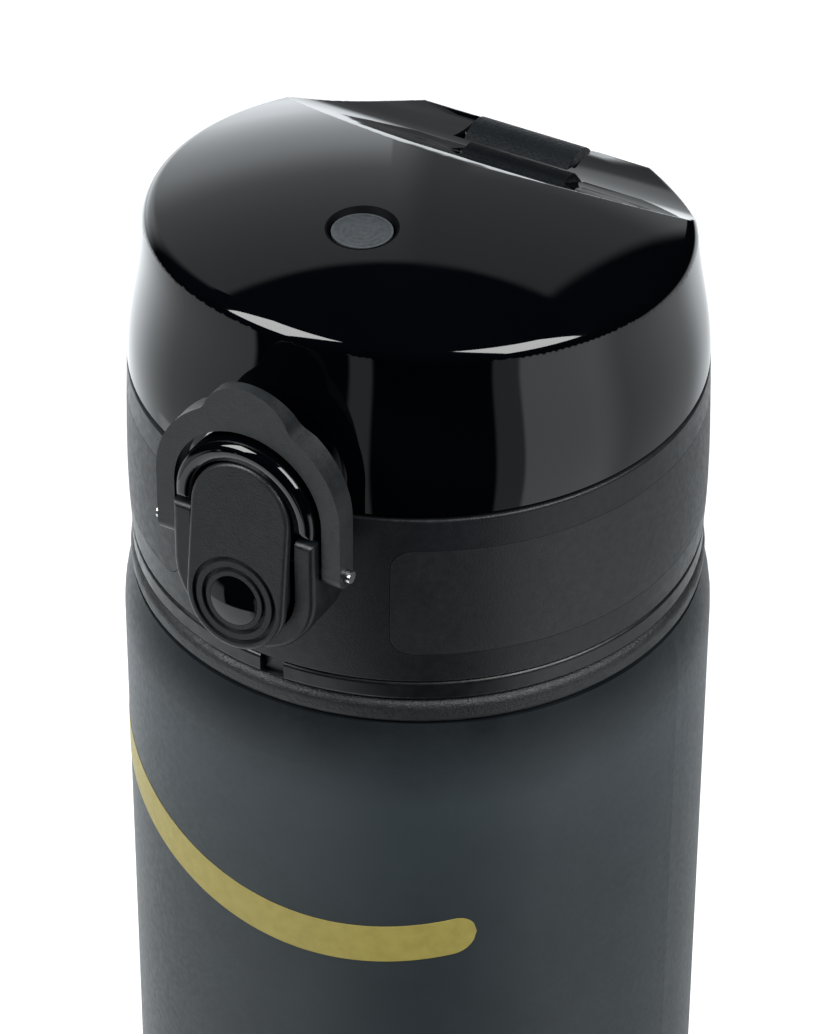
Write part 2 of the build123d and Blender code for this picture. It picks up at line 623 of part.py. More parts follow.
# ---- lock ring: swings up around the latch housing; thumb tab on top, two legs on the pin ----
RING_Z = SEAM_Z + 2.4
RING_INNER_Z = SEAM_Z + 1.6
LEG_END_R = 1.6
RING_BACK_Y = LATCH_PIN_Y + RING_THICKNESS / 2
with BuildPart() as lock_ring:
    with BuildSketch(Plane.XZ.offset(-RING_BACK_Y)):
        with Locations((0, RING_Z)):
            Circle(RING_OUTER_R)
        with Locations((0, SEAM_Z + 11.6)):
            Circle(RING_TAB_R)
        with Locations((0, (RING_Z + LATCH_PIN_Z - LEG_END_R) / 2)):
            Rectangle(2 * RING_OUTER_R, RING_Z - LATCH_PIN_Z + LEG_END_R)
        with Locations((0, RING_INNER_Z)):
            Circle(RING_INNER_R, mode=Mode.SUBTRACT)
        with Locations((0, RING_INNER_Z - 10)):
            Rectangle(2 * RING_INNER_R, 20, mode=Mode.SUBTRACT)
        with Locations((0, LATCH_PIN_Z - LEG_END_R - 10)):
            Rectangle(30, 20, mode=Mode.SUBTRACT)
    extrude(amount=RING_THICKNESS)
    tab_corners = edges().filter_by(Axis.Y).filter_by(lambda edge: edge.center().Z > SEAM_Z + 12)
    fillet(tab_corners, radius=2.2)
    with BuildSketch(Plane.YZ):
        with BuildLine():
            Polyline(
                (RING_BACK_Y + 0.1, SEAM_Z + 12.0), (RING_BACK_Y + 0.1, SEAM_Z + 18.0),
                (RING_BACK_Y - 1.8, SEAM_Z + 18.0), (RING_BACK_Y, SEAM_Z + 12.0), close=True,
            )
        make_face()
    extrude(amount=8, both=True, mode=Mode.SUBTRACT)
    leg_ends = edges().filter_by(Axis.X).filter_by(lambda edge: edge.center().Z < LATCH_PIN_Z)
    fillet(leg_ends, radius=RING_THICKNESS / 2 - 0.05)
    with BuildSketch(Plane.YZ):
        with Locations((LATCH_PIN_Y, LATCH_PIN_Z)):
            Circle(LATCH_PIN_R + RUNNING)
    extrude(amount=20, both=True, mode=Mode.SUBTRACT)
write_part(lock_ring, "lock_ring")
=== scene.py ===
import math

import bmesh
import bpy
import numpy as np
from mathutils import Matrix, Vector


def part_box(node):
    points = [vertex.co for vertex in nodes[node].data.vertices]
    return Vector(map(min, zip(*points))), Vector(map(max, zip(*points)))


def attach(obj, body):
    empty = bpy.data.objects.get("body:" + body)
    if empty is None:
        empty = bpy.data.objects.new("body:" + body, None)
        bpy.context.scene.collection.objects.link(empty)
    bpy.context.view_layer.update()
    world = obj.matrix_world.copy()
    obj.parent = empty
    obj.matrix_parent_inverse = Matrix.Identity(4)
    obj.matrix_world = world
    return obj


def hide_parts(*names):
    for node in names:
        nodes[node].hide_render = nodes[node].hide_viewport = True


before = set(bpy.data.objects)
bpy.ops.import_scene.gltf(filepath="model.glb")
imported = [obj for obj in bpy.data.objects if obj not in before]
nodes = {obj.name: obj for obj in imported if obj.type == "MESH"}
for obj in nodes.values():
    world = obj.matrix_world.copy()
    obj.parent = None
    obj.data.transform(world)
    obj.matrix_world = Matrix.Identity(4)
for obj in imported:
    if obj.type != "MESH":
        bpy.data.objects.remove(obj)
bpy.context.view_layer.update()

MM = 0.001

# ---- Studio ----
# A bottle on white paper between two soft boxes that hang in front of it, left and right. Around
# it are lit paper at both sides, a dim wall behind that glows at the horizon left of the middle
# and has a lit patch low on the right, and a dark ceiling.
SEAM_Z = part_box("lid_shell")[0].z            # lower rim of the lid
CAMERA_AZIMUTH = math.radians(29.3)          # round from the latch towards +X
CAMERA_ELEVATION_DEG = 36.77
CAMERA_DISTANCE = 598.4 * MM
CAMERA_ROLL = math.radians(0.275)
SENSOR_WIDTH_MM, LENS_MM = 36.0, 169.8
NEAREST_SEEN, FARTHEST_SEEN = 0.01, 20.0     # metres
LOOK_AT = Vector((0, 0, SEAM_Z - 26.1 * MM))
FLOOR_HALF = 3.0
FLOOR_GLOW = 0.35                            # keeps the paper white where the lamps don't reach
LAMP_DISTANCE = 1.0


def round_the_bottle(azimuth_deg, elevation_deg, distance):
    """A place around the cap; azimuth counts from the camera's side, towards the camera's right."""
    azimuth = CAMERA_AZIMUTH + math.radians(azimuth_deg)
    elevation = math.radians(elevation_deg)
    outwards = Vector((
        math.sin(azimuth) * math.cos(elevation),
        -math.cos(azimuth) * math.cos(elevation),
        math.sin(elevation),
    ))
    return LOOK_AT + outwards * distance


def soft_box(name, azimuth_deg, elevation_deg, width, height, watts):
    """A rectangular studio light that faces the cap."""
    lamp = bpy.data.lights.new(name, "AREA")
    lamp.shape = "RECTANGLE"
    lamp.size = width
    lamp.size_y = height
    lamp.energy = watts
    holder = bpy.data.objects.new(name, lamp)
    bpy.context.scene.collection.objects.link(holder)
    holder.location = round_the_bottle(azimuth_deg, elevation_deg, LAMP_DISTANCE)
    toward = LOOK_AT - holder.location
    holder.rotation_euler = toward.to_track_quat("-Z", "Y").to_euler()


camera_data = bpy.data.cameras.new("camera")
camera_data.sensor_width = SENSOR_WIDTH_MM
camera_data.lens = LENS_MM
camera_data.clip_start = NEAREST_SEEN
camera_data.clip_end = FARTHEST_SEEN
camera = bpy.data.objects.new("camera", camera_data)
bpy.context.scene.collection.objects.link(camera)
camera.location = round_the_bottle(0, CAMERA_ELEVATION_DEG, CAMERA_DISTANCE)
aim = (LOOK_AT - camera.location).to_track_quat("-Z", "Y").to_matrix()
camera.rotation_euler = (aim @ Matrix.Rotation(CAMERA_ROLL, 3, "Z")).to_euler()
bpy.context.scene.camera = camera
bpy.context.scene.view_settings.view_transform = "Standard"

floor_mesh = bpy.data.meshes.new("floor")
floor_corners = [(x * FLOOR_HALF, y * FLOOR_HALF, 0) for x, y in ((-1, -1), (1, -1), (1, 1), (-1, 1))]
floor_mesh.from_pydata(floor_corners, [], [(0, 1, 2, 3)])
floor = bpy.data.objects.new("floor", floor_mesh)
bpy.context.scene.collection.objects.link(floor)
floor_paper = bpy.data.materials.new("floor_paper")
floor_paper.use_nodes = True
floor_shader = floor_paper.node_tree.nodes["Principled BSDF"]
floor_shader.inputs["Base Color"].default_value = (0.85, 0.85, 0.85, 1)
floor_shader.inputs["Roughness"].default_value = 0.9
floor_shader.inputs["Emission Color"].default_value = (1, 1, 1, 1)
floor_shader.inputs["Emission Strength"].default_value = FLOOR_GLOW
floor_mesh.materials.append(floor_paper)
floor.visible_glossy = False                 # the room's own field lights and mirrors in its place
floor.visible_diffuse = False

soft_box("soft_box_left", azimuth_deg=-67, elevation_deg=44, width=0.50, height=0.70, watts=10.8)
soft_box("soft_box_right", azimuth_deg=55, elevation_deg=45, width=0.56, height=0.62, watts=10.6)

room = bpy.data.worlds.new("room")
room.use_nodes = True
room_tree = room.node_tree
room_background = room_tree.nodes["Background"]
room_direction = room_tree.nodes.new("ShaderNodeTexCoord").outputs["Generated"]


def room_math(operation, first, second):
    """One sum in the room's tree; a number or a socket may stand on either side."""
    step = room_tree.nodes.new("ShaderNodeMath")
    step.operation = operation
    for socket, value in zip(step.inputs, (first, second)):
        if isinstance(value, (int, float)):
            socket.default_value = value
        else:
            room_tree.links.new(value, socket)
    return step.outputs[0]


def room_sum(total, *others):
    for other in others:
        total = room_math("ADD", total, other)
    return total


def room_product(total, *others):
    for other in others:
        total = room_math("MULTIPLY", total, other)
    return total


def room_ramp(value, span, low=0.0, high=1.0):
    """Goes softly from low to high as value goes from the first to the second number of span."""
    ramp = room_tree.nodes.new("ShaderNodeMapRange")
    ramp.interpolation_type = "SMOOTHSTEP"
    room_tree.links.new(value, ramp.inputs["Value"])
    ramp.inputs["From Min"].default_value = span[0]
    ramp.inputs["From Max"].default_value = span[1]
    ramp.inputs["To Min"].default_value = low
    ramp.inputs["To Max"].default_value = high
    return ramp.outputs[0]


# azimuth is in degrees from the camera's side, positive to its right; height is the elevation's sine
turn = room_tree.nodes.new("ShaderNodeVectorRotate")
turn.rotation_type = "Z_AXIS"
turn.inputs["Angle"].default_value = -CAMERA_AZIMUTH
room_tree.links.new(room_direction, turn.inputs["Vector"])
split = room_tree.nodes.new("ShaderNodeSeparateXYZ")
room_tree.links.new(turn.outputs[0], split.inputs[0])
to_right, away, height = split.outputs
azimuth = room_product(room_math("ARCTAN2", to_right, room_product(away, -1)), 180 / math.pi)

# the paper as gloss sees it: lit at both sides, with a dark gap where the camera stands
PAPER_TOP = -0.14, -0.28
LEFT_EDGE, LEFT_LIGHT = (-66, -69), 0.6      # white is 1
LEFT_BACK, LEFT_BACK_GAIN = (-105, -155), 1.2
SLOT_RIGHT, SLOT_LEFT, SLOT_LIGHT = (-17, -19), (-28, -26), 0.38     # light past the camera's left
RIGHT_EDGE, RIGHT_EDGE_LIGHT = (28, 30), 0.34
RIGHT_LIT, RIGHT_LIT_GAIN = (39, 41), 0.78
RIGHT_DIM, RIGHT_DIM_LOSS = (70, 88), 0.48
RIGHT_BACK, RIGHT_BACK_GAIN = (125, 150), 0.5
NEAR_TOP, NEAR_LIGHT = (-0.50, -0.53), 1.25  # the paper close in front, left of the camera
NEAR_LEFT, NEAR_RIGHT = (-135, -115), (-24, -36)
paper_left = room_sum(room_ramp(azimuth, LEFT_BACK, high=LEFT_BACK_GAIN), LEFT_LIGHT)
paper_left = room_product(paper_left, room_ramp(azimuth, LEFT_EDGE))
paper_slot = room_product(room_ramp(azimuth, SLOT_RIGHT), room_ramp(azimuth, SLOT_LEFT), SLOT_LIGHT)
paper_right = room_ramp(azimuth, RIGHT_EDGE, high=RIGHT_EDGE_LIGHT)
paper_right = room_sum(paper_right, room_ramp(azimuth, RIGHT_LIT, high=RIGHT_LIT_GAIN))
paper_right = room_math("SUBTRACT", paper_right, room_ramp(azimuth, RIGHT_DIM, high=RIGHT_DIM_LOSS))
paper_right = room_sum(paper_right, room_ramp(azimuth, RIGHT_BACK, high=RIGHT_BACK_GAIN))
paper = room_product(room_sum(paper_right, paper_left, paper_slot), room_ramp(height, PAPER_TOP))
paper_near = room_ramp(height, NEAR_TOP, high=NEAR_LIGHT)
paper_near = room_product(paper_near, room_ramp(azimuth, NEAR_LEFT), room_ramp(azimuth, NEAR_RIGHT))
paper = room_math("MAXIMUM", paper, paper_near)

# the wall behind: dim, glowing at the horizon left of the middle, with a lit patch low on the right
WALL_RISE, WALL_LOW_LIGHT, WALL_HIGH_LIGHT = (0.0, 0.4), 0.18, 0.33
WALL_CEILING, WALL_FOOT = (0.735, 0.715), (-0.5, -0.4)
WALL_LEFT, WALL_RIGHT = (-125, -155), (155.5, 157.5)
GLOW_LIGHT, GLOW_FALL = 1.9, -4.76           # the glow is e to the power of this times the height
GLOW_FOOT, GLOW_END = (-0.24, -0.09), (0.06, 0.0)
PATCH_LIGHT, PATCH_EDGE, PATCH_TOP = 0.5, (174.6, 173.2), (0.42, 0.24)
glow = room_product(room_math("POWER", math.e, room_product(height, GLOW_FALL)), GLOW_LIGHT)
glow = room_product(room_math("MINIMUM", glow, GLOW_LIGHT), room_ramp(height, GLOW_FOOT))
glow = room_product(glow, room_ramp(to_right, GLOW_END))
patch = room_product(room_ramp(azimuth, PATCH_EDGE, high=PATCH_LIGHT), room_ramp(height, PATCH_TOP))
wall = room_sum(room_ramp(height, WALL_RISE, WALL_LOW_LIGHT, WALL_HIGH_LIGHT), room_sum(glow, patch))
wall = room_product(wall, room_ramp(height, WALL_CEILING), room_ramp(height, WALL_FOOT))
wall = room_product(wall, room_sum(room_ramp(azimuth, WALL_LEFT), room_ramp(azimuth, WALL_RIGHT)))

REST_OF_ROOM = 0.004
BACKDROP = 0.9                               # what the camera sees past the paper's edge
room_light = room_sum(paper, wall, REST_OF_ROOM)
seen_directly = room_tree.nodes.new("ShaderNodeLightPath").outputs["Is Camera Ray"]
room_light = room_math("MAXIMUM", room_light, room_product(seen_directly, BACKDROP))
room_tree.links.new(room_light, room_background.inputs["Strength"])
room_background.inputs["Color"].default_value = (0.92, 0.965, 1.0, 1)
bpy.context.scene.world = room


# ---- Bottle body ----
# Blow-moulded grey copolyester, frosted outside by a fine matt texture in the mould, with a
# threaded neck. Painted shade darkens its grey where the wall turns in under the neck ring. Below
# that the grey lightens into a painted lit band, and painted shade darkens it again further down.
def new_material(name):
    material = bpy.data.materials.new(name)
    material.use_nodes = True
    return material


def shader_of(material):
    return material.node_tree.nodes["Principled BSDF"]


def add_node(material, kind, **settings):
    """A new node in the material, with its plain properties set."""
    node = material.node_tree.nodes.new(kind)
    for key, value in settings.items():
        setattr(node, key, value)
    return node


def connect(material, source, target):
    material.node_tree.links.new(source, target)


def drive(material, value, socket_name):
    """Lets value set one of the shader's own inputs."""
    connect(material, value, shader_of(material).inputs[socket_name])


def place(material):
    """The piece's own coordinates, in metres."""
    return add_node(material, "ShaderNodeTexCoord").outputs["Object"]


def place_along_axes(material):
    """The same, as separate x, y and z."""
    split_place = add_node(material, "ShaderNodeSeparateXYZ")
    connect(material, place(material), split_place.inputs[0])
    return split_place.outputs


def speckle(material, size, detail=2.0, stretch=1, roughness=0.5):
    """Soft noise whose blotches are about size metres across; stretch above 1 draws them out along x."""
    where = place(material)
    if stretch != 1:
        mapping = add_node(material, "ShaderNodeMapping")
        mapping.inputs["Scale"].default_value = (1 / stretch, 1, 1)
        connect(material, where, mapping.inputs["Vector"])
        where = mapping.outputs[0]
    noise = add_node(material, "ShaderNodeTexNoise")
    noise.inputs["Scale"].default_value = 1 / size
    noise.inputs["Detail"].default_value = detail
    noise.inputs["Roughness"].default_value = roughness
    connect(material, where, noise.inputs["Vector"])
    return noise.outputs["Fac"]


def spread(material, value, low, high, start=0.3, end=0.7):
    """Carries value, from start to end, onto low to high."""
    ramp = add_node(material, "ShaderNodeMapRange")
    connect(material, value, ramp.inputs["Value"])
    ramp.inputs["From Min"].default_value = start
    ramp.inputs["From Max"].default_value = end
    ramp.inputs["To Min"].default_value = low
    ramp.inputs["To Max"].default_value = high
    return ramp.outputs[0]


def arithmetic(material, operation, first, second=0):
    """One sum; a number or a socket may stand on either side."""
    step = add_node(material, "ShaderNodeMath", operation=operation)
    for socket, value in zip(step.inputs, (first, second)):
        if isinstance(value, (int, float)):
            socket.default_value = value
        else:
            connect(material, value, socket)
    return step.outputs[0]


def tint(material, value, dark, light):
    """Base colour that moves between two colours with value."""
    mix = add_node(material, "ShaderNodeMix", data_type="RGBA")
    connect(material, value, mix.inputs["Factor"])
    mix.inputs["A"].default_value = (*dark, 1)
    mix.inputs["B"].default_value = (*light, 1)
    drive(material, mix.outputs["Result"], "Base Color")


def polish(material, patch, smooth, rough, patch_detail=3, patch_stretch=1):
    """Roughness that wanders from smooth to rough in patches of about that size."""
    patches = speckle(material, patch, patch_detail, patch_stretch)
    drive(material, spread(material, patches, smooth, rough), "Roughness")


def relief(material, value, depth):
    """Presses value, from 0 to 1, into the surface, depth metres deep; layers add up."""
    shader = shader_of(material)
    bump = add_node(material, "ShaderNodeBump")
    bump.inputs["Distance"].default_value = depth
    bump.inputs["Strength"].default_value = 1.0
    earlier = shader.inputs["Normal"].links
    if earlier:
        connect(material, earlier[0].from_socket, bump.inputs["Normal"])
    connect(material, value, bump.inputs["Height"])
    connect(material, bump.outputs[0], shader.inputs["Normal"])


def skin(
    name, dark, light, cloud, smooth, rough, patch, grain, depth,
    cloud_detail=3, patch_detail=3, patch_stretch=1,
    grain_detail=2, grain_roughness=0.5, grain_stretch=1,
):
    """A skin with clouds of dark and light, patches of polish, and grain pressed in depth metres deep."""
    material = new_material(name)
    clouds = speckle(material, cloud, cloud_detail)
    tint(material, spread(material, clouds, 0, 1), dark, light)
    polish(material, patch, smooth, rough, patch_detail, patch_stretch)
    relief(material, speckle(material, grain, grain_detail, grain_stretch, grain_roughness), depth)
    return material


def dress(node, material):
    """The CAD node keeps its shape and takes the material."""
    mesh = nodes[node].data
    mesh.materials.clear()
    mesh.materials.append(material)


PAINTED_SHADE_TOP_Z = 176 * MM       # from here down the painted shade under the neck ring lightens
PAINTED_SHADE_END_Z = 165 * MM
PAINTED_LIGHT_GAIN = 0.85
LOWER_PAINTED_SHADE_TOP_Z = 162 * MM                # below the painted lit band, painted shade deepens the grey again
LOWER_PAINTED_SHADE_BOTTOM_Z = 146 * MM
LOWER_PAINTED_SHADE_LOSS = 0.28
CLOUD_GAIN = 0.15
frosted = new_material("frosted_copolyester")
body_z = place_along_axes(frosted)[2]
# painted shade under the neck ring, a painted lit band on the shoulder and painted shade further down,
# mixed into the grey with its clouds
painted_shade_under_ring = spread(frosted, body_z, 0.0, PAINTED_LIGHT_GAIN, PAINTED_SHADE_TOP_Z, PAINTED_SHADE_END_Z)
frost_cloud_and_painted_shade = spread(frosted, speckle(frosted, size=9 * MM, detail=3), 0, CLOUD_GAIN)
lower_painted_shade = spread(frosted, body_z, 0.0, LOWER_PAINTED_SHADE_LOSS, LOWER_PAINTED_SHADE_TOP_Z, LOWER_PAINTED_SHADE_BOTTOM_Z)
frost_cloud_and_painted_shade = arithmetic(frosted, "SUBTRACT", frost_cloud_and_painted_shade, lower_painted_shade)
frost_tone_and_painted_light = arithmetic(frosted, "ADD", painted_shade_under_ring, frost_cloud_and_painted_shade)
tint(frosted, frost_tone_and_painted_light, dark=(0.006, 0.008, 0.010), light=(0.043, 0.056, 0.062))
polish(frosted, patch=0.8 * MM, smooth=0.42, rough=0.52)
relief(frosted, speckle(frosted, size=0.22 * MM, detail=3), depth=0.012 * MM)
relief(frosted, speckle(frosted, size=14 * MM, detail=1), depth=0.05 * MM)
shader_of(frosted).inputs["Specular IOR Level"].default_value = 0.3
shader_of(frosted).inputs["Sheen Weight"].default_value = 0.03
shader_of(frosted).inputs["Sheen Roughness"].default_value = 0.4
shader_of(frosted).inputs["Sheen Tint"].default_value = (0.8, 0.9, 1.0, 1)
dress("bottle_body", frosted)


# ---- Printed wave ----
# A plain screen-printed stripe in matt yellow ink that waves round one side of the bottle.
# The ink stands a few hundredths of a millimetre proud of the frosting.
WAVE = {
    "Radius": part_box("bottle_body")[1].x,
    "Width": 5.6 * MM,
    "Height": 146.9 * MM,        # mean height of the stripe's middle
    "Swing": 3.9 * MM,
    "Start": math.radians(-148),  # round the bottle from the latch
    "End": math.radians(41),
    "Pace": 2.2,                 # waves in one turn
    "Lag": 2.05,                 # the wave starts this many of its own radians past the latch
    "Ink": 0.04 * MM,
}
STEPS_ALONG, STEPS_ACROSS = 360, 11
TIP = 0.0006                     # keeps the stripe's ends from closing to a point
WELD = 1e-6


def wave_stripe_tree():
    """A flat strip, laid on a drum of Radius as a wave with rounded ends, and thickened outwards."""
    tree = bpy.data.node_groups.new("wave_stripe", "GeometryNodeTree")
    tree.interface.new_socket("Geometry", in_out="INPUT", socket_type="NodeSocketGeometry")
    for label in WAVE:
        tree.interface.new_socket(label, in_out="INPUT", socket_type="NodeSocketFloat")
    tree.interface.new_socket("Material", in_out="INPUT", socket_type="NodeSocketMaterial")
    tree.interface.new_socket("Geometry", in_out="OUTPUT", socket_type="NodeSocketGeometry")
    given = tree.nodes.new("NodeGroupInput").outputs
    result = tree.nodes.new("NodeGroupOutput").inputs

    def link(source, target):
        tree.links.new(source, target)

    def calc(operation, *values):
        step = tree.nodes.new("ShaderNodeMath")
        step.operation = operation
        for socket, value in zip(step.inputs, values):
            if isinstance(value, (int, float)):
                socket.default_value = value
            else:
                link(value, socket)
        return step.outputs[0]

    grid = tree.nodes.new("GeometryNodeMeshGrid")
    grid.inputs["Size X"].default_value = 1
    grid.inputs["Size Y"].default_value = 1
    grid.inputs["Vertices X"].default_value = STEPS_ALONG
    grid.inputs["Vertices Y"].default_value = STEPS_ACROSS
    spot = tree.nodes.new("ShaderNodeSeparateXYZ")
    link(tree.nodes.new("GeometryNodeInputPosition").outputs[0], spot.inputs[0])
    along = calc("ADD", spot.outputs[0], 0.5)
    across = spot.outputs[1]
    sweep = calc("SUBTRACT", given["End"], given["Start"])
    angle = calc("ADD", given["Start"], calc("MULTIPLY", along, sweep))

    # the ends round off over half a width: the strip narrows as a circle does
    length = calc("MULTIPLY", sweep, given["Radius"])
    end_share = calc("MULTIPLY", calc("DIVIDE", given["Width"], length), 0.5)
    from_end = calc("SUBTRACT", 0.5, calc("ABSOLUTE", calc("SUBTRACT", along, 0.5)))
    short = calc("MAXIMUM", 0.0, calc("SUBTRACT", 1.0, calc("DIVIDE", from_end, end_share)))
    narrow = calc("SQRT", calc("MAXIMUM", TIP, calc("SUBTRACT", 1.0, calc("POWER", short, 2.0))))
    aside = calc("MULTIPLY", calc("MULTIPLY", across, given["Width"]), narrow)
    phase = calc("SUBTRACT", calc("MULTIPLY", angle, given["Pace"]), given["Lag"])
    wave = calc("MULTIPLY", calc("SINE", phase), given["Swing"])

    on_drum = tree.nodes.new("ShaderNodeCombineXYZ")
    link(calc("MULTIPLY", calc("SINE", angle), given["Radius"]), on_drum.inputs[0])
    link(calc("MULTIPLY", calc("MULTIPLY", calc("COSINE", angle), given["Radius"]), -1), on_drum.inputs[1])
    link(calc("ADD", calc("ADD", given["Height"], wave), aside), on_drum.inputs[2])
    sheet = tree.nodes.new("GeometryNodeSetPosition")
    link(grid.outputs["Mesh"], sheet.inputs["Geometry"])
    link(on_drum.outputs[0], sheet.inputs["Position"])
    thicken = tree.nodes.new("GeometryNodeExtrudeMesh")
    thicken.inputs["Individual"].default_value = False
    link(sheet.outputs[0], thicken.inputs["Mesh"])
    link(given["Ink"], thicken.inputs["Offset Scale"])
    under = tree.nodes.new("GeometryNodeFlipFaces")
    link(sheet.outputs[0], under.inputs[0])
    both = tree.nodes.new("GeometryNodeJoinGeometry")
    link(under.outputs[0], both.inputs[0])
    link(thicken.outputs["Mesh"], both.inputs[0])
    weld = tree.nodes.new("GeometryNodeMergeByDistance")
    weld.inputs["Distance"].default_value = WELD
    link(both.outputs[0], weld.inputs["Geometry"])
    real = tree.nodes.new("GeometryNodeRealizeInstances")
    link(weld.outputs[0], real.inputs[0])
    painted = tree.nodes.new("GeometryNodeSetMaterial")
    link(real.outputs[0], painted.inputs["Geometry"])
    link(given["Material"], painted.inputs["Material"])
    link(painted.outputs[0], result["Geometry"])
    return tree


def grow(name, tree, values):
    """Runs a Geometry Nodes tree on a new object and keeps the result as a plain mesh."""
    piece = bpy.data.objects.new(name, bpy.data.meshes.new(name + "_seed"))
    bpy.context.scene.collection.objects.link(piece)
    modifier = piece.modifiers.new("grow", "NODES")
    modifier.node_group = tree
    for item in tree.interface.items_tree:
        if item.in_out == "INPUT" and item.name in values:
            modifier[item.identifier] = values[item.name]
    bpy.context.view_layer.update()
    evaluated = piece.evaluated_get(bpy.context.evaluated_depsgraph_get())
    mesh = bpy.data.meshes.new_from_object(evaluated)
    piece.modifiers.remove(modifier)
    mesh.name = name
    piece.data = mesh
    return piece


ink = skin(
    "yellow_ink", dark=(0.39, 0.325, 0.078), light=(0.45, 0.38, 0.097), cloud=1.6 * MM, cloud_detail=4,
    smooth=0.42, rough=0.58, patch=0.6 * MM, grain=0.25 * MM, depth=0.008 * MM,
)
wave_stripe = grow("wave_stripe", wave_stripe_tree(), {**WAVE, "Material": ink})
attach(wave_stripe, "bottle")


# ---- Neck ring ----
# A soft ring of thermoplastic rubber, moulded over the shoulder in a mould whose sparked surface
# gives it a coarse grain.
ring_rubber = skin(
    "neck_ring_rubber", dark=(0.0095, 0.0110, 0.0125), light=(0.0185, 0.0205, 0.0225), cloud=0.5 * MM,
    smooth=0.36, rough=0.5, patch=2.5 * MM, patch_detail=2,
    grain=0.36 * MM, depth=0.12 * MM, grain_detail=3, grain_roughness=0.7,
)
dress("neck_ring", ring_rubber)


# ---- Cap gasket ----
# A flat washer of translucent grey silicone, die-cut from sheet. It is pressed between the
# bottle's rim and the cap.
silicone = skin(
    "grey_silicone", dark=(0.24, 0.25, 0.26), light=(0.34, 0.35, 0.36), cloud=1.2 * MM,
    smooth=0.36, rough=0.5, patch=0.7 * MM, patch_detail=2,
    grain=0.3 * MM, depth=0.02 * MM, grain_detail=3,
)
shader_of(silicone).inputs["Subsurface Weight"].default_value = 0.25
shader_of(silicone).inputs["Subsurface Radius"].default_value = (0.9, 1.0, 1.1)
shader_of(silicone).inputs["Subsurface Scale"].default_value = 0.6 * MM
dress("cap_gasket", silicone)


# ---- Collar insert ----
# The threaded inner cap, moulded in polypropylene; only its flange shows, as the thin ring
# between the collar and the neck ring.
polypropylene = skin(
    "insert_polypropylene", dark=(0.0030, 0.0038, 0.0047), light=(0.0050, 0.0060, 0.0072), cloud=3 * MM,
    smooth=0.30, rough=0.42, patch=1.4 * MM, grain=0.2 * MM, depth=0.008 * MM,
)
dress("collar_insert", polypropylene)


# ---- Collar shell ----
# The matt outer collar, moulded in acrylonitrile copolymer: a fine spark texture on the drum and
# the latch cradle, and a coarse, duller leather grain on the hinge tower behind.
TOWER_FRONT_Y, TOWER_FRONT_FADE = 21.5 * MM, 0.4 * MM
TOWER_FOOT_Z, TOWER_FOOT_FADE = SEAM_Z + 1.0 * MM, 0.5 * MM
collar_plastic = skin(
    "collar_matt", dark=(0.0070, 0.0088, 0.0108), light=(0.0100, 0.0119, 0.0140), cloud=6 * MM,
    smooth=0.35, rough=0.45, patch=1.1 * MM,
    grain=0.24 * MM, depth=0.032 * MM, grain_detail=3, grain_roughness=0.6,
)
collar_place = place_along_axes(collar_plastic)
behind = spread(collar_plastic, collar_place[1], 0, 1, TOWER_FRONT_Y, TOWER_FRONT_Y + TOWER_FRONT_FADE)
above = spread(collar_plastic, collar_place[2], 0, 1, TOWER_FOOT_Z, TOWER_FOOT_Z + TOWER_FOOT_FADE)
on_tower = arithmetic(collar_plastic, "MULTIPLY", behind, above)
leather = speckle(collar_plastic, size=0.42 * MM, detail=3, roughness=0.65)
relief(collar_plastic, arithmetic(collar_plastic, "MULTIPLY", leather, on_tower), depth=0.16 * MM)
duller = spread(collar_plastic, on_tower, low=0.36, high=0.08, start=0, end=1)
drive(collar_plastic, duller, "Specular IOR Level")
dress("collar_shell", collar_plastic)


# ---- Grip band ----
# A soft-touch inlay of thermoplastic rubber, moulded into the collar's shallow groove and broken
# at the latch.
grip_rubber = skin(
    "grip_rubber", dark=(0.0080, 0.0098, 0.0118), light=(0.0110, 0.0130, 0.0150), cloud=5 * MM,
    smooth=0.43, rough=0.54, patch=0.9 * MM,
    grain=0.3 * MM, depth=0.036 * MM, grain_detail=3, grain_roughness=0.6,
)
dress("grip_band", grip_rubber)


# ---- Mouthpiece, its seal and the vent ----
# A drinking spout moulded in satin polypropylene, clipped into the insert over a silicone O-ring,
# with a small silicone umbrella valve behind it that lets air back in.
spout_plastic = skin(
    "spout_satin", dark=(0.044, 0.046, 0.049), light=(0.056, 0.058, 0.061), cloud=4 * MM,
    smooth=0.24, rough=0.36, patch=1.5 * MM, grain=0.3 * MM, depth=0.006 * MM,
)
dress("mouthpiece", spout_plastic)
dress("mouthpiece_seal", silicone)
dress("vent_valve", silicone)


# ---- Latch pin and button spring ----
# A drawn stainless pin across the collar's cradle, on which the lock ring and the button turn.
# The button's return spring is wound from wire of the same steel.
steel = skin(
    "drawn_steel", dark=(0.55, 0.55, 0.56), light=(0.72, 0.72, 0.71), cloud=1.2 * MM,
    smooth=0.14, rough=0.32, patch=0.12 * MM, patch_stretch=12,
    grain=0.1 * MM, depth=0.004 * MM, grain_stretch=14,
)
shader_of(steel).inputs["Metallic"].default_value = 1.0
dress("latch_pin", steel)
dress("button_spring", steel)


# ---- Lock ring and button ----
# The lock ring swings on the pin and the button rocks on it. Both are matt mouldings with a fine
# spark texture.
latch_plastic = skin(
    "latch_matt", dark=(0.0108, 0.0130, 0.0148), light=(0.0142, 0.0164, 0.0184), cloud=3.5 * MM,
    smooth=0.34, rough=0.45, patch=0.9 * MM,
    grain=0.26 * MM, depth=0.036 * MM, grain_detail=3, grain_roughness=0.6,
)
dress("lock_ring", latch_plastic)
dress("latch_button", latch_plastic)


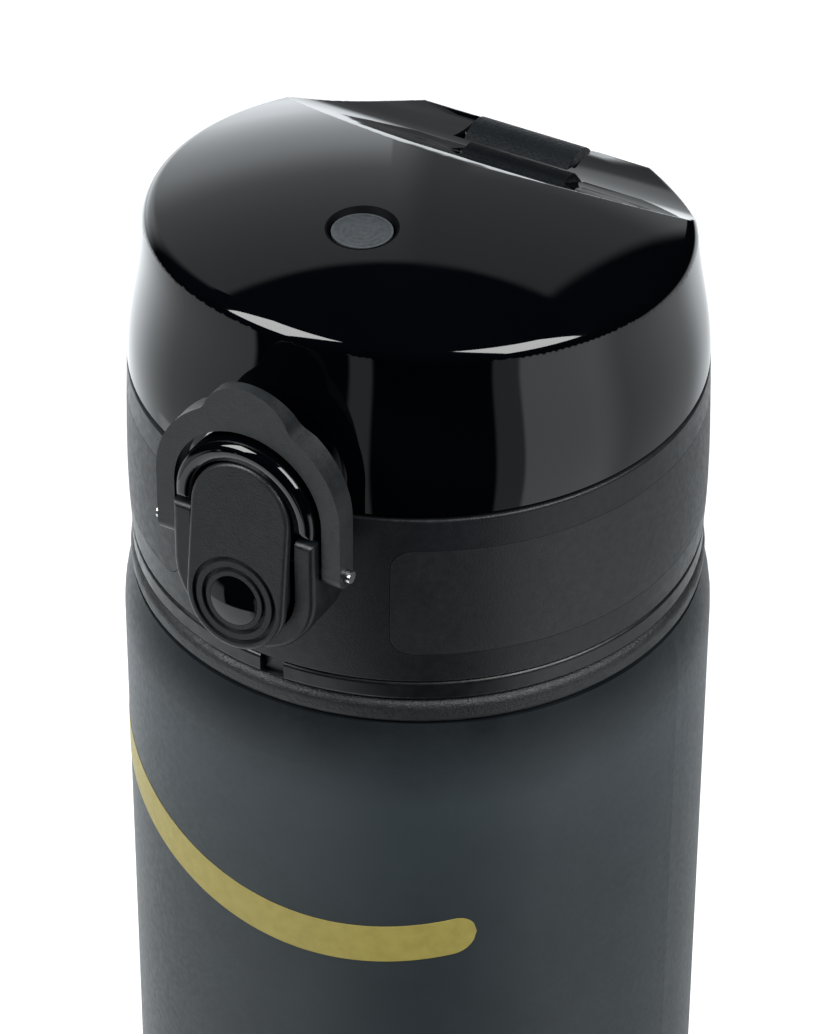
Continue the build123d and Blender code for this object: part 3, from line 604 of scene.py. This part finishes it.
# ---- Lid and the button's dot ----
# The flip lid is moulded in high-gloss black, with a shallow domed crown, a scooped back and a
# glossy arch over the latch; the domed dot on the button is as glossy. The lid's mesh is the
# moulding's own, with exact normals on its smooth forms, so that they mirror without ripples.
DOME_RADIUS = 100 * MM
DOME_CENTRE = Vector((0, -8 * MM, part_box("lid_shell")[1].z - DOME_RADIUS))
CROWN_EDGE = 2.4 * MM            # radius of the rounded edge round the crown
SHARP = math.radians(32)
SAME_FORM = math.cos(math.radians(34))       # a facet nearer than this to a form belongs to it
ON_DOME = 0.004 * MM             # how near to a form its points lie
ON_PROFILE = 0.03 * MM
ON_EDGE = 0.06 * MM
PROFILE_DEGREE = 6
# heights are above the seam; each form's profile is fitted to points that are surely on it
WALL_UPRIGHT = 0.97              # cosine of the most that a wall facet may lean
WALL_SURE_RADIUS, WALL_SURE_HEIGHT, WALL_HEIGHT = 31.5 * MM, 19.5 * MM, 21 * MM
WALL_SURE_Y = -28 * MM, 20 * MM  # clear of the arch and of the hinge
SCOOP_SURE_Y, SCOOP_Y = (6.5 * MM, 28 * MM), (6 * MM, 28.4 * MM)
SCOOP_SURE_HEIGHT, SCOOP_SURE_HALF = 13 * MM, 16 * MM
SCOOP_FLAT, SCOOP_SIDEWAYS = 0.75, 0.02      # least z and most x of a scoop facet's normal
EDGE_GUESS, EDGE_TRIES = 17 * MM, 5          # where the search for the rounded edge begins
SHORT_TURN = 0.001               # radians, to find which way the edge runs


def unit(vectors):
    return vectors / np.linalg.norm(vectors, axis=1)[:, None]


def agreement(first, second):
    """The cosine between each pair of directions."""
    return (first * second).sum(axis=1)


def between(values, limits):
    return (values > limits[0]) & (values < limits[1])


def rows_of(collection, attribute, width):
    """One vector for each item of a mesh collection."""
    values = np.empty(len(collection) * width)
    collection.foreach_get(attribute, values)
    return values.reshape(-1, width)


def counts_of(collection, attribute):
    """One whole number for each item of a mesh collection."""
    values = np.empty(len(collection), dtype=np.int64)
    collection.foreach_get(attribute, values)
    return values


def lid_with_exact_normals():
    """The lid's mesh, welded, with the normals of its smooth forms worked out from the forms."""
    body = bmesh.new()
    body.from_mesh(nodes["lid_shell"].data)
    bmesh.ops.remove_doubles(body, verts=body.verts, dist=WELD)
    mesh = bpy.data.meshes.new("lid_gloss")
    body.to_mesh(mesh)
    body.free()
    mesh.polygons.foreach_set("use_smooth", [True] * len(mesh.polygons))
    mesh.set_sharp_from_angle(angle=SHARP)
    at = rows_of(mesh.vertices, "co", 3)[counts_of(mesh.loops, "vertex_index")]
    shading = rows_of(mesh.corner_normals, "vector", 3)
    facing = np.repeat(rows_of(mesh.polygons, "normal", 3), counts_of(mesh.polygons, "loop_total"), axis=0)
    rise = at[:, 2] - SEAM_Z

    # the crown is part of a ball
    from_centre = at - np.array(DOME_CENTRE)
    on_dome = np.abs(np.linalg.norm(from_centre, axis=1) - DOME_RADIUS) < ON_DOME
    dome_normal = unit(from_centre)

    # the wall is turned round the axis
    distance = np.hypot(at[:, 0], at[:, 1])
    outwards = np.stack([at[:, 0] / distance, at[:, 1] / distance, np.zeros(len(at))], axis=1)
    sure = (agreement(facing, outwards) > WALL_UPRIGHT) & (distance > WALL_SURE_RADIUS)
    sure &= between(at[:, 1], WALL_SURE_Y) & (rise < WALL_SURE_HEIGHT)
    wall = np.polynomial.Polynomial.fit(rise[sure], distance[sure], PROFILE_DEGREE)
    on_wall = (np.abs(distance - wall(rise)) < ON_PROFILE) & (rise < WALL_HEIGHT)
    wall_normal = outwards.copy()
    wall_normal[:, 2] = -wall.deriv()(rise)
    wall_normal = unit(wall_normal)

    # the scoop is drawn straight across, along x
    sure = between(at[:, 1], SCOOP_SURE_Y) & (rise > SCOOP_SURE_HEIGHT)
    sure &= (facing[:, 2] > SCOOP_FLAT) & (np.abs(facing[:, 0]) < SCOOP_SIDEWAYS)
    sure &= np.abs(at[:, 0]) < SCOOP_SURE_HALF
    scoop = np.polynomial.Polynomial.fit(at[sure, 1], at[sure, 2], PROFILE_DEGREE)
    on_scoop = (np.abs(at[:, 2] - scoop(at[:, 1])) < ON_PROFILE) & between(at[:, 1], SCOOP_Y)
    scoop_normal = np.stack([np.zeros(len(at)), -scoop.deriv()(at[:, 1]), np.ones(len(at))], axis=1)
    scoop_normal = unit(scoop_normal)

    # the crown's rounded edge is a ball rolled round inside the crown and the wall
    def ball_centre(angle):
        heart = np.empty((len(angle), 3))
        lift = np.full(len(angle), EDGE_GUESS)
        for _ in range(EDGE_TRIES):
            rim = wall(lift) - CROWN_EDGE
            heart[:, 0] = rim * np.cos(angle)
            heart[:, 1] = rim * np.sin(angle)
            sideways = np.hypot(heart[:, 0] - DOME_CENTRE.x, heart[:, 1] - DOME_CENTRE.y)
            heart[:, 2] = DOME_CENTRE.z + np.sqrt((DOME_RADIUS - CROWN_EDGE) ** 2 - sideways ** 2)
            lift = heart[:, 2] - SEAM_Z
        return heart

    round_the_axis = np.arctan2(at[:, 1], at[:, 0])
    heart = ball_centre(round_the_axis)
    path = unit(ball_centre(round_the_axis + SHORT_TURN) - heart)
    from_heart = at - heart
    from_heart -= agreement(from_heart, path)[:, None] * path
    on_edge = np.abs(np.linalg.norm(from_heart, axis=1) - CROWN_EDGE) < ON_EDGE
    edge_normal = unit(from_heart)

    forms = (on_edge, edge_normal), (on_dome, dome_normal), (on_wall, wall_normal), (on_scoop, scoop_normal)
    for touches, exact in forms:
        near = touches & (agreement(facing, exact) > SAME_FORM)
        shading[near] = exact[near]
    mesh.normals_split_custom_set(shading.tolist())
    return mesh


SPOUT_AXIS_Y = -13.4 * MM
WELL_REACH = 4.35 * MM           # inside this the well's wall is left as moulded, without polish
WELL_FADE = 0.05 * MM
WELL_ROUGHNESS = 0.6


def from_spout_axis(material):
    """Distance of the surface from the spout's upright axis, in metres."""
    shifted = add_node(material, "ShaderNodeVectorMath", operation="SUBTRACT")
    connect(material, place(material), shifted.inputs[0])
    shifted.inputs[1].default_value = (0, SPOUT_AXIS_Y, 0)
    flat = add_node(material, "ShaderNodeVectorMath", operation="MULTIPLY")
    connect(material, shifted.outputs[0], flat.inputs[0])
    flat.inputs[1].default_value = (1, 1, 0)
    length = add_node(material, "ShaderNodeVectorMath", operation="LENGTH")
    connect(material, flat.outputs[0], length.inputs[0])
    return length.outputs["Value"]


gloss = new_material("lid_gloss_black")
gloss_cloud = spread(gloss, speckle(gloss, size=12 * MM), 0, 1)
tint(gloss, gloss_cloud, dark=(0.0006, 0.0008, 0.0014), light=(0.0009, 0.0012, 0.0019))
in_well = spread(gloss, from_spout_axis(gloss), 1, 0, WELL_REACH - WELL_FADE, WELL_REACH)
gloss_polish = spread(gloss, speckle(gloss, size=7 * MM, detail=4), low=0.022, high=0.06)
well_polish = arithmetic(gloss, "MULTIPLY", in_well, WELL_ROUGHNESS)
drive(gloss, arithmetic(gloss, "MAXIMUM", gloss_polish, well_polish), "Roughness")
drive(gloss, spread(gloss, in_well, low=0.5, high=0.05, start=0, end=1), "Specular IOR Level")
relief(gloss, speckle(gloss, size=18 * MM, detail=1), depth=0.02 * MM)
shader_of(gloss).inputs["IOR"].default_value = 1.53
lid_piece = bpy.data.objects.new("lid_gloss", lid_with_exact_normals())
bpy.context.scene.collection.objects.link(lid_piece)
lid_piece.data.materials.append(gloss)
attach(lid_piece, "lid")
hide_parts("lid_shell")
dress("button_dome", gloss)


# ---- Lid liner ----
# A satin polypropylene moulding that snaps into the lid from below and holds the spout seal's
# pad over the mouthpiece.
liner_plastic = skin(
    "liner_satin", dark=(0.052, 0.052, 0.056), light=(0.068, 0.068, 0.074), cloud=4 * MM,
    smooth=0.28, rough=0.42, patch=1.4 * MM, grain=0.3 * MM, depth=0.008 * MM,
)
dress("lid_liner", liner_plastic)


# ---- Spout seal ----
# One silicone moulding: a pad that shuts the spout, and a stub that is pulled up through the
# crown's well. The stub's mottled end, with faint rings from turning the mould, is the pale disc.
# A painted highlight lightens it where it turns over its rounded rim.
STUB_RIM = 3.3 * MM              # outside this the stub's end turns over its rounded rim, where a highlight is painted
RIM_HIGHLIGHT_FADE, PAINTED_RIM_HIGHLIGHT_GAIN = 0.2 * MM, 0.45
MOTTLE_GAIN = 0.6
RINGS = 9000                     # radians of ripple for each metre out from the axis
seal_silicone = new_material("seal_silicone")
stub_reach = from_spout_axis(seal_silicone)
# painted highlight: the stub's rounded rim is lightened in its colour
painted_rim_highlight = spread(seal_silicone, stub_reach, 0, PAINTED_RIM_HIGHLIGHT_GAIN, STUB_RIM, STUB_RIM + RIM_HIGHLIGHT_FADE)
mottle = speckle(seal_silicone, size=0.7 * MM, detail=5, roughness=0.65)
mottle = spread(seal_silicone, mottle, 0, MOTTLE_GAIN)
seal_tone_and_highlight = arithmetic(seal_silicone, "ADD", mottle, painted_rim_highlight)
tint(seal_silicone, seal_tone_and_highlight, dark=(0.028, 0.033, 0.037), light=(0.066, 0.075, 0.082))
polish(seal_silicone, patch=0.6 * MM, smooth=0.38, rough=0.55, patch_detail=2)
ripples = arithmetic(seal_silicone, "SINE", arithmetic(seal_silicone, "MULTIPLY", stub_reach, RINGS))
relief(seal_silicone, spread(seal_silicone, ripples, 0, 1, -1, 1), depth=0.02 * MM)
relief(seal_silicone, speckle(seal_silicone, size=0.3 * MM, detail=3), depth=0.03 * MM)
dress("spout_seal", seal_silicone)


# ---- Hinge pin and hinge spring ----
# A second drawn stainless pin, pressed through the hinge tower, on which the lid turns. The
# spring wound round it is bent from steel wire and throws the lid open.
dress("hinge_pin", steel)
dress("hinge_spring", steel)
